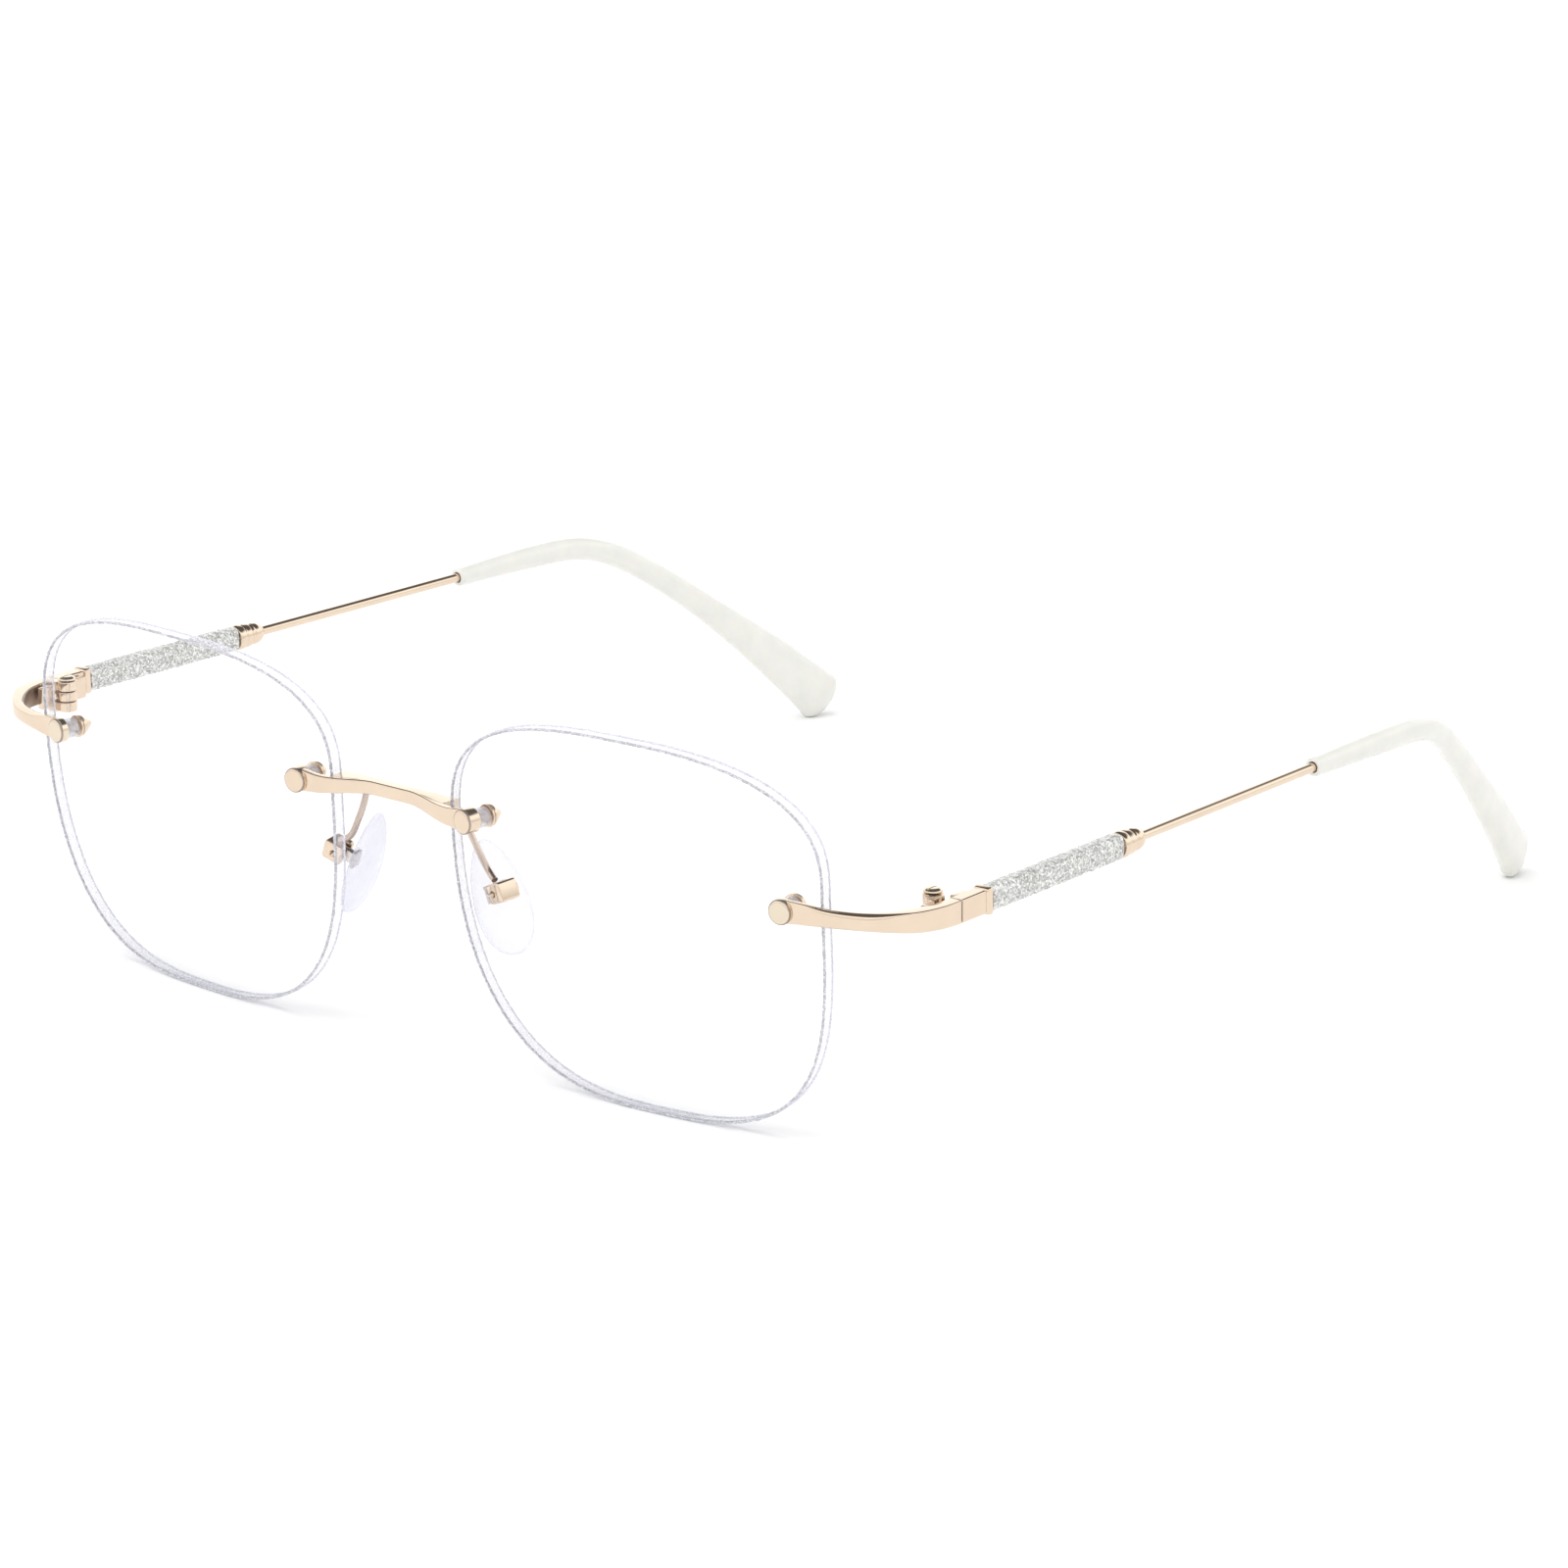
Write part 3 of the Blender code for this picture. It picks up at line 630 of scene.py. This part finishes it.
def bead(rng, loops, surface, sizes):
    """A wavering thread of glitter round the lens."""
    sides = 6
    shape = bmesh.new()
    rings = []
    for p, edge in loops:
        outward = (edge - p).normalized()
        ring = []
        for k in range(sides):
            angle = 2 * pi * (k + rng.uniform(-0.3, 0.3)) / sides
            size = rng.uniform(*sizes)
            across = p + outward * cos(angle) * size
            height = surface(p.x, p.y) + sin(angle) * size
            ring.append(shape.verts.new((across.x, across.y, height)))
        rings.append(ring)
    skin(shape, rings, closed=True)
    bmesh.ops.triangulate(shape, faces=shape.faces)
    bmesh.ops.transform(shape, matrix=lens_matrix(), verts=shape.verts)
    return shape


def make_rims():
    """A bead of glitter along the lens' front edge, and a finer one along its back edge, painted
    paler to stand in for the lens' reflections over it.
    """
    rng = random.Random(11)
    outline = lens_outline(620)
    loops = list(zip(inset(outline, 0.22), outline))
    front_bead = bead(rng, loops, lambda x, y: front(x, y) - 0.1, (0.15, 0.21))
    pair("lens_glitter_rim", front_bead, rim_glitter, "front", "silver_glitter", angle=0)
    back_bead = bead(rng, loops, lambda x, y: back(x, y) + 0.1, (0.09, 0.14))
    pair("lens_back_rim", back_bead, faint_glitter, "front", "silver_glitter", angle=0)


# ---------------------------------------------------------------- rimless mounts


def hole_on_lens(hole):
    return lens_matrix() @ Vector((*hole, front(*hole)))


def mount_axis(yaw):
    return Vector((sin(yaw), cos(yaw), 0.0))


def mount_turn(yaw):
    return (-pi / 2, 0.0, -yaw)


def disc_centre(hole, yaw, face):
    """The middle of a disc's front face."""
    return hole_on_lens(hole) + mount_axis(yaw) * face


def make_stud(label, hole, yaw, face, node_name):
    """The disc in front of the lens, with a small shoulder round its face that is painted dark as
    painted shade, and its post.
    """
    post = [(0, POST_END)]
    for i in range(int((POST_END - DISC_BACK) / 0.5)):
        end = POST_END - 0.5 * i
        post += [(POST_R, end - 0.04), (POST_R, end - 0.26), (POST_R - 0.14, end - 0.34),
                 (POST_R - 0.14, end - 0.44)]
    profile = softened(post + [
        (POST_R, DISC_BACK), (DISC_R, DISC_BACK),
        (DISC_R, face + 0.3), (DISC_R - 0.04, face + 0.12), (DISC_R - 0.12, face + 0.1),
        (DISC_R - 0.2, face + 0.02), (DISC_R - 0.34, face - 0.03), (0.6, face - 0.06),
        (0, face - 0.07),
    ], 0.06)
    shape = turned(profile, hole_on_lens(hole), mount_turn(yaw), 72)
    centre, axis = disc_centre(hole, yaw, face), mount_axis(yaw)
    # Painted shade: the faces of the shoulder round the disc's face get the darkened gold, standing
    # in for shade and dark reflection at its rim.
    for wall in shape.faces:
        offset = wall.calc_center_median() - centre
        depth = offset.dot(axis)
        if -0.05 < depth < 0.2 and (offset - axis * depth).length > DISC_R - 0.16:
            wall.material_index = 1
    look = gold if label == "bridge" else pale_gold
    pair(label + "_stud", shape, [look, painted_shade_gold], "front", "rose_gold", node_name)


def make_mount(label, hole, yaw):
    place, turn = hole_on_lens(hole), mount_turn(yaw)
    seat = LENS_THICK + 2 * GAP
    bore, sleeve = POST_R + GAP, LENS_HOLE_R - GAP
    front_end = DISC_BACK + GAP
    bush = softened([(sleeve, LENS_THICK), (sleeve, front_end), (bore, front_end),
                     (bore, LENS_THICK)], 0.05, closed=True)
    pair(label + "_bush", turned(bush, place, turn, closed=True), nylon, "front", "clear_nylon",
         label + "_bush")
    high = seat + 0.25
    washer = softened([(WASHER_R, high), (WASHER_R, seat), (bore, seat), (bore, high)], 0.08,
                      closed=True)
    pair(label + "_washer", turned(washer, place, turn, closed=True), gold, "front", "rose_gold",
         label + "_washer")
    nut = high + GAP
    tip = nut + NUT_LENGTH
    profile = [(0, tip)] + softened([
        (0, tip), (0.3, tip - 0.06), (0.55, tip - 0.4), (1.05, nut + 0.62), (1.1, nut + 0.42),
        (NUT_R - 0.1, nut + 0.36), (NUT_R, nut + 0.26), (NUT_R, nut), (bore, nut),
        (bore, POST_END + GAP), (0, POST_END + GAP)], 0.08)[1:]
    pair(label + "_cap_nut", turned(profile, place, turn), gold, "front", "rose_gold",
         label + "_cap_nut")


# ---------------------------------------------------------------- bridge


def bridge_row(x):
    disc = disc_centre(*MOUNTS[0][1:])
    reach = min(abs(x) / disc.x, 1.0)
    blend = min(max((reach - 0.2) / 0.62, 0.0), 1.0)
    inward = 1 - blend**2 * (3 - 2 * blend)
    half_depth = 0.5 + 0.3 * inward
    return (x, disc.y + DISC_PROUD + half_depth + 1.6 * inward, disc.z + 0.5 * inward, half_depth,
            0.8 + 0.6 * reach**3)


def make_bridge():
    disc_x = disc_centre(*MOUNTS[0][1:]).x
    count = 96
    rows = [bridge_row(disc_x * (2 * i / count - 1)) for i in range(count + 1)]
    finish_piece("bridge_bar", loft(rows, rounded(0.24)), gold, "front", "rose_gold", ["bridge"],
                 flats=True)
    wedge = smooth_path([
        (3.2, 1.0, 32.2, 0.8, 0.8), (5.4, 0.95, 32.15, 0.95, 0.82), (7.4, 0.95, 32.0, 1.3, 0.85),
        (8.7, 1.0, 31.95, 1.5, 0.85), (9.02, 1.0, 31.95, 1.5, 0.85)], 10)
    pair("bridge_lug", loft(wedge, rounded(0.2)), gold, "front", "rose_gold", "bridge", flats=True)
    make_stud(*MOUNTS[0], "bridge")


# ---------------------------------------------------------------- nose pads


def pad_axes():
    back = Vector((sin(PAD_SPLAY), cos(PAD_SPLAY), 0.0))
    level = Vector((cos(PAD_SPLAY), -sin(PAD_SPLAY), 0.0))
    rise = Vector((0, 0, cos(PAD_FRONTAL))) - level * sin(PAD_FRONTAL)
    outward = level * cos(PAD_FRONTAL) + Vector((0, 0, sin(PAD_FRONTAL)))
    width = back * cos(PAD_ROLL) + rise * sin(PAD_ROLL)
    length = rise * cos(PAD_ROLL) - back * sin(PAD_ROLL)
    return width, length, outward


def pad_place(a, b, c):
    width, length, outward = pad_axes()
    return PAD_BOX + width * a + length * b + outward * c


def pad_turn():
    return Matrix(pad_axes()).transposed().to_euler()


def screw_turn():
    width, length, outward = pad_axes()
    return Matrix((length, outward, width)).transposed().to_euler()


def pad_surface(u, v):
    """A point on the pad: u goes round it, and v from the skin side's middle to the back's."""
    c, s = cos(u), sin(u)
    reach = sin(v)
    x, y = superellipse(atan2(s, c), 2.0)
    y *= reach
    bulge = -cos(v)
    depth = PAD_HALF[2] * (1.0 if bulge < 0 else 0.72)
    return (x * reach * PAD_HALF[0] * (1 - 0.22 * y), y * PAD_HALF[1], bulge * depth)


def make_pads():
    sides, levels = 56, 28
    shape = bmesh.new()
    rings = [[shape.verts.new(pad_surface(2 * pi * i / sides, pi * (j + 0.5) / levels))
              for i in range(sides)] for j in range(levels)]
    skin(shape, rings)
    shape.faces.new(rings[0])
    shape.faces.new(rings[-1])
    turned_axes = Matrix(pad_axes()).transposed().to_4x4()
    matrix = Matrix.Translation(pad_place(1.35, -0.7, -3.0)) @ turned_axes
    bmesh.ops.transform(shape, matrix=matrix, verts=shape.verts)
    for piece in pair("nose_pad", shape, silicone, "nose_pad_{}_body", "clear_silicone",
                      "nose_pad", angle=60):
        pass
    turn = pad_turn()
    insert = combined(
        block(pad_place(0, 0, -2.4), (1.5, 2.1, 0.5), turn, 0.12),
        ("UNION", block(pad_place(0, 0, -1.0), (0.9, 1.5, 2.7), turn, 0.15)),
        ("DIFFERENCE", rod(PAD_BOX, 0.42, -2, 2, screw_turn())),
    )
    pair("pad_insert", insert, steel, "nose_pad_{}_body", "pad_core_steel", "pad_insert")


def make_pad_holders():
    path = smooth_path(
        [(7.3, 0.95, 31.4), (7.2, 2.4, 31.4), (7.5, 3.8, 30.4), (8.46, 4.4, 28.5),
         (9.75, 4.6, 26.1), (11.1, 4.75, 24.0), pad_place(-0.5, 1.5, 0.0)], 10)
    pair("pad_arm", wire(path, 0.4), dull_gold, "front", "rose_gold", "pad_arm")
    turn = pad_turn()
    holder = combined(
        block(pad_place(0, 0, 0.2), (2.8, 2.4, 2.6), turn, 0.32),
        ("DIFFERENCE", block(pad_place(0, 0, -0.4), (1.2, 4.0, 2.6), turn, 0.05)),
        ("DIFFERENCE", rod(PAD_BOX, 0.42, -3, 3, screw_turn())),
    )
    pair("pad_box", holder, gold, "front", "rose_gold", "pad_box")
    outline = [(0, 2.1), (0.55, 2.02), (0.75, 1.85), (0.75, 1.52),
               (0.33, 1.52), (0.33, -1.5), (0.12, -2.05), (0, -2.1)]
    profile = [(0, 2.1)] + softened(outline, 0.05)[1:]
    screw = combined(
        turned(profile, PAD_BOX, screw_turn(), 40),
        ("DIFFERENCE", block(pad_place(2.1, 0, 0), (0.5, 2.0, 0.2), turn, 0)),
    )
    pair("pad_screw", screw, gold, "front", "rose_gold", "pad_screw")


# ---------------------------------------------------------------- end pieces and hinges


def make_end_pieces():
    disc = disc_centre(*MOUNTS[1][1:])
    path = smooth_path([
        (disc.x, disc.y + 0.8, disc.z, 0.3, 1.4),
        (60.9, disc.y + 1.15, 28.85, 0.4, 1.25),
        (64.6, disc.y + 2.1, 28.72, 0.6, 1.05),
        (68.8, 5.9, 28.72, 0.75, 1.05),
        (71.9, 9.0, 28.72, 0.85, 1.2),
        (73.0, 12.1, 28.7, 0.9, 1.3),
        (73.1, SEAM_Y, 28.67, 0.9, 1.35),
    ], 14)

    def section(a, b):
        """The edges are rounder where the bar is slimmest, round the bend."""
        return rounded(min(0.17 + 3.2 * max(0.0, 1.2 - b), 0.9 * a))(a, b)

    shape = loft(path, section)
    bmesh.ops.recalc_face_normals(shape, faces=shape.faces)
    # Painted shade: the inner faces round the bend get the darkened gold, a dark streak painted
    # where the dark ceiling's reflection falls.
    bend_start, bend_end = 4.2, 12.4
    for face in shape.faces:
        place, facing = face.calc_center_median(), face.normal
        if bend_start < place.y < bend_end and facing.x < -0.3 and facing.y > -0.9:
            face.material_index = 1
    pair("end_piece", shape, [gold, painted_shade_gold], "front", "rose_gold", "end_piece", flats=True)
    pair("end_lug", block((63.6, 5.2, 28.3), (0.8, 2.8, 1.2), bevel=0.15), gold, "front",
         "rose_gold", "end_piece", flats=True)
    make_stud(*MOUNTS[1], "end_piece")


def hinge_leaf(plate_y, knuckles, neck_y):
    """A plate beside the arm, with knuckle rings on the hinge axis."""
    low, high = plate_y
    steps = []
    for bottom, top in knuckles:
        middle = (bottom + top) / 2
        edge = low + 0.2 if neck_y < low else high - 0.2
        steps.append(("UNION", rod((HINGE.x, HINGE.y, 0), 1.2, bottom, top, bevel=0.12)))
        steps.append(("UNION", block((71.05, (edge + neck_y) / 2, middle),
                                     (1.3, abs(edge - neck_y), top - bottom - 0.04), bevel=0.1)))
    steps.append(("DIFFERENCE", rod((HINGE.x, HINGE.y, 0), 0.5, 20, 36)))
    return combined(block((71.35, (low + high) / 2, 28.4), (0.8, high - low, 2.7), bevel=0.14),
                    *steps)


def make_hinges():
    pair("hinge_leaf_front", hinge_leaf((11.6, 13.4), (KNUCKLES[0], KNUCKLES[2]), 15.0), gold,
         "front", "rose_gold", "hinge_leaf_front")
    pair("hinge_leaf_temple", hinge_leaf((16.6, 19.0), (KNUCKLES[1],), 14.8), gold,
         "temple_{}", "rose_gold", "hinge_leaf_temple")
    profile = [(0, 30.9)] + softened([
        (0, 30.9), (0.75, 30.86), (1.1, 30.65), (1.15, 30.42), (0.42, 30.42), (0.42, 26.3),
        (0, 26.2)], 0.1)[1:]
    screw = combined(turned(profile, HINGE),
                     ("DIFFERENCE", block((HINGE.x, HINGE.y, 31.0), (0.22, 2.4, 0.5), bevel=0)))
    pair("hinge_screw", screw, pale_gold, "front", "rose_gold", "hinge_screw")


# ---------------------------------------------------------------- temples


def temple_place(distance):
    return TEMPLE_START + TEMPLE_DIRECTION * distance


def temple_turn():
    return TEMPLE_DIRECTION.to_track_quat("Z", "Y").to_euler()


def make_blocks():
    end = BLOCK_LENGTH
    rows = smooth_path([
        (*temple_place(d), a, b) for d, a, b in (
            (0, 0.88, 1.3), (0.1, 0.95, 1.38), (0.4, 0.95, 1.38), (end - 1.6, 0.95, 1.4),
            (end - 1.15, 0.95, 1.4), (end - 0.98, 0.88, 1.32), (end - 0.85, 1.06, 1.52),
            (end - 0.45, 1.14, 1.6), (end - 0.15, 1.14, 1.6), (end, 1.06, 1.52))
    ], 4)
    pair("temple_block", loft(rows, rounded(0.3)), gold, "temple_{}", "rose_gold",
         "temple_block", flats=True)


def make_sleeves():
    """Crushed crystal set round the wire: a tube of small facets, each tipped at random."""
    rng = random.Random(23)
    start = BLOCK_LENGTH + GAP
    across = TEMPLE_DIRECTION.cross(UP).normalized()
    upward = across.cross(TEMPLE_DIRECTION)
    sides, stations = 36, 98
    outline = oval(3.0, sides)
    shape = bmesh.new()
    rings = []
    for i in range(stations + 1):
        inner = 0 < i < stations
        ring = []
        for a, b in outline(1.15, 1.5):
            distance = SLEEVE_LENGTH * (i + (rng.uniform(-0.38, 0.38) if inner else 0)) / stations
            swell = 1 + (rng.uniform(-0.045, 0.05) if inner else -0.04)
            drift = rng.uniform(-0.09, 0.09)
            a, b = a * swell - b * drift * 0.5, b * swell + a * drift
            ring.append(shape.verts.new(temple_place(start + distance) + across * a + upward * b))
        rings.append(ring)
    skin(shape, rings)
    shape.faces.new(rings[0])
    shape.faces.new(rings[-1])
    bmesh.ops.triangulate(shape, faces=[f for f in shape.faces if len(f.verts) == 4])
    pair("glitter_sleeve", shape, crystal, "temple_{}", "silver_glitter", "glitter_sleeve",
         angle=0)


def make_ferrules():
    bore = WIRE_R + GAP
    profile = softened([
        (0.8, FERRULE_LENGTH), (1.0, 4.15), (1.2, 3.8), (1.35, 3.3), (1.35, 2.75), (1.2, 2.62),
        (1.1, 2.35), (1.25, 2.15), (1.5, 2.0), (1.5, 1.3), (1.4, 1.2), (1.4, 1.05), (1.58, 0.95),
        (1.6, 0.35), (1.45, 0.0),
        (bore, 0.0), (bore, FERRULE_LENGTH)], 0.1, closed=True)
    place = temple_place(BLOCK_LENGTH + 2 * GAP + SLEEVE_LENGTH)
    pair("ferrule", turned(profile, place, temple_turn(), closed=True), gold, "temple_{}",
         "rose_gold", "ferrule")


def make_tips():
    path = smooth_path([
        (*temple_place(TIP_START), 1.1, 1.15),
        (69.5, 96.0, 29.0, 1.3, 1.45),
        (68.8, 105.0, 28.6, 1.35, 1.5),
        (67.3, 111.0, 26.7, 1.4, 1.55),
        (65.3, 117.0, 22.9, 1.4, 1.6),
        (62.6, 125.0, 16.6, 1.45, 1.85),
        (59.8, 134.0, 8.8, 1.55, 2.7),
        (57.4, 141.6, 1.41, 1.6, 3.4),
    ], 12)
    core = [temple_place(BLOCK_LENGTH + GAP), temple_place(30), temple_place(50),
            temple_place(TIP_START)] + [Vector(row[:3]) for row in path[3:60:3]]
    pair("temple_wire", wire(core, WIRE_R, 32), gold, "temple_{}", "rose_gold", "temple_wire")
    last, before = Vector(path[-1][:3]), Vector(path[-2][:3])
    along = (last - before).normalized()
    dome = 2.2
    ends = []
    for step in range(11):
        angle = radians(86 * step / 10)
        place = last + along * dome * (sin(angle) - 1)
        ends.append([*place, path[-1][3] * cos(angle) ** 0.9, path[-1][4] * cos(angle) ** 0.9])
    kept = [row for row in path if (Vector(row[:3]) - last).length > dome + 0.2]
    lip = [list(kept[0]) for _ in range(3)]
    for row, (back_off, shrink) in zip(lip, ((0.0, 0.86), (0.05, 0.95), (0.16, 1.0))):
        row[:3] = Vector(row[:3]) + TEMPLE_DIRECTION * back_off
        row[3] *= shrink
        row[4] *= shrink
    body = loft(lip + kept[1:] + ends, oval(2.2, 56))
    bore = wire([temple_place(TIP_START - 3), temple_place(TIP_START)]
                + [Vector(row[:3]) for row in path[3:64:3]], WIRE_R + GAP, 32)
    pair("temple_tip", combined(body, ("DIFFERENCE", bore)), ivory, "temple_{}", "ivory_acetate",
         "temple_tip")


# ---------------------------------------------------------------- studio


def make_floor():
    shape = bmesh.new()
    bmesh.ops.create_grid(shape, x_segments=4, y_segments=4, size=6.0)
    mesh = bpy.data.meshes.new("studio_floor")
    shape.to_mesh(mesh)
    shape.free()
    mesh.materials.append(floor_look())
    made = bpy.data.objects.new("studio_floor", mesh)
    bpy.context.scene.collection.objects.link(made)


def make_world():
    """White walls up to a dark ceiling, which shows as thin dark lines on rounded metal."""
    world = bpy.data.worlds.new("studio")
    world.use_nodes = True
    tree = world.node_tree
    direction = node(tree, "TexCoord").outputs["Generated"]
    lean = node(tree, "VectorMath", {0: direction, 1: Vector((-0.13, 0.15, 0.98)).normalized()},
                operation="DOT_PRODUCT")
    height = spread(tree, lean.outputs["Value"], 0.0, 1.0)
    colour = ramp(tree, height, (
        (0.0, (WALL, WALL, WALL)), (0.12, (WALL, WALL, WALL)), (0.35, (1.4, 1.4, 1.4)),
        (0.60, (1.4, 1.4, 1.4)), (0.74, (0.12, 0.12, 0.125)), (1.0, (0.12, 0.12, 0.125))))
    background = tree.nodes["Background"]
    tree.links.new(colour, background.inputs["Color"])
    background.inputs["Strength"].default_value = 1.0
    bpy.context.scene.world = world


def make_sun(name, towards, strength, spread_angle):
    """Soft even light from a wide patch of sky, left out of mirror reflections."""
    light = bpy.data.lights.new(name, "SUN")
    light.energy = strength
    light.angle = radians(spread_angle)
    made = bpy.data.objects.new(name, light)
    made.location = (0, 0, 1)
    made.rotation_euler = Vector(towards).to_track_quat("-Z", "Y").to_euler()
    made.visible_glossy = False
    bpy.context.scene.collection.objects.link(made)


def make_camera():
    camera = bpy.data.objects.new("camera", bpy.data.cameras.new("camera"))
    camera.data.sensor_width = 36.0
    camera.data.lens = 176.9
    camera.data.clip_start = 0.05
    camera.data.clip_end = 30.0
    place = Vector((603.9, -675.67, 284.6)) * MM
    target = Vector((17.66, -21.52, 25.35)) * MM
    camera.location = place
    turn = (target - place).to_track_quat("-Z", "Y").to_matrix()
    camera.rotation_euler = (turn @ Matrix.Rotation(radians(-0.92), 3, "Z")).to_euler()
    bpy.context.scene.collection.objects.link(camera)
    bpy.context.scene.camera = camera


make_lens()
make_rims()
for label, hole, yaw, _ in MOUNTS:
    make_mount(label, hole, yaw)
make_bridge()
make_pads()
make_pad_holders()
make_end_pieces()
make_hinges()
make_blocks()
make_sleeves()
make_ferrules()
make_tips()
make_floor()
make_world()
make_sun("key", (0.12, 0.15, -1.0), 2.0, 70.0)
make_camera()
bpy.context.scene.view_settings.view_transform = "Standard"
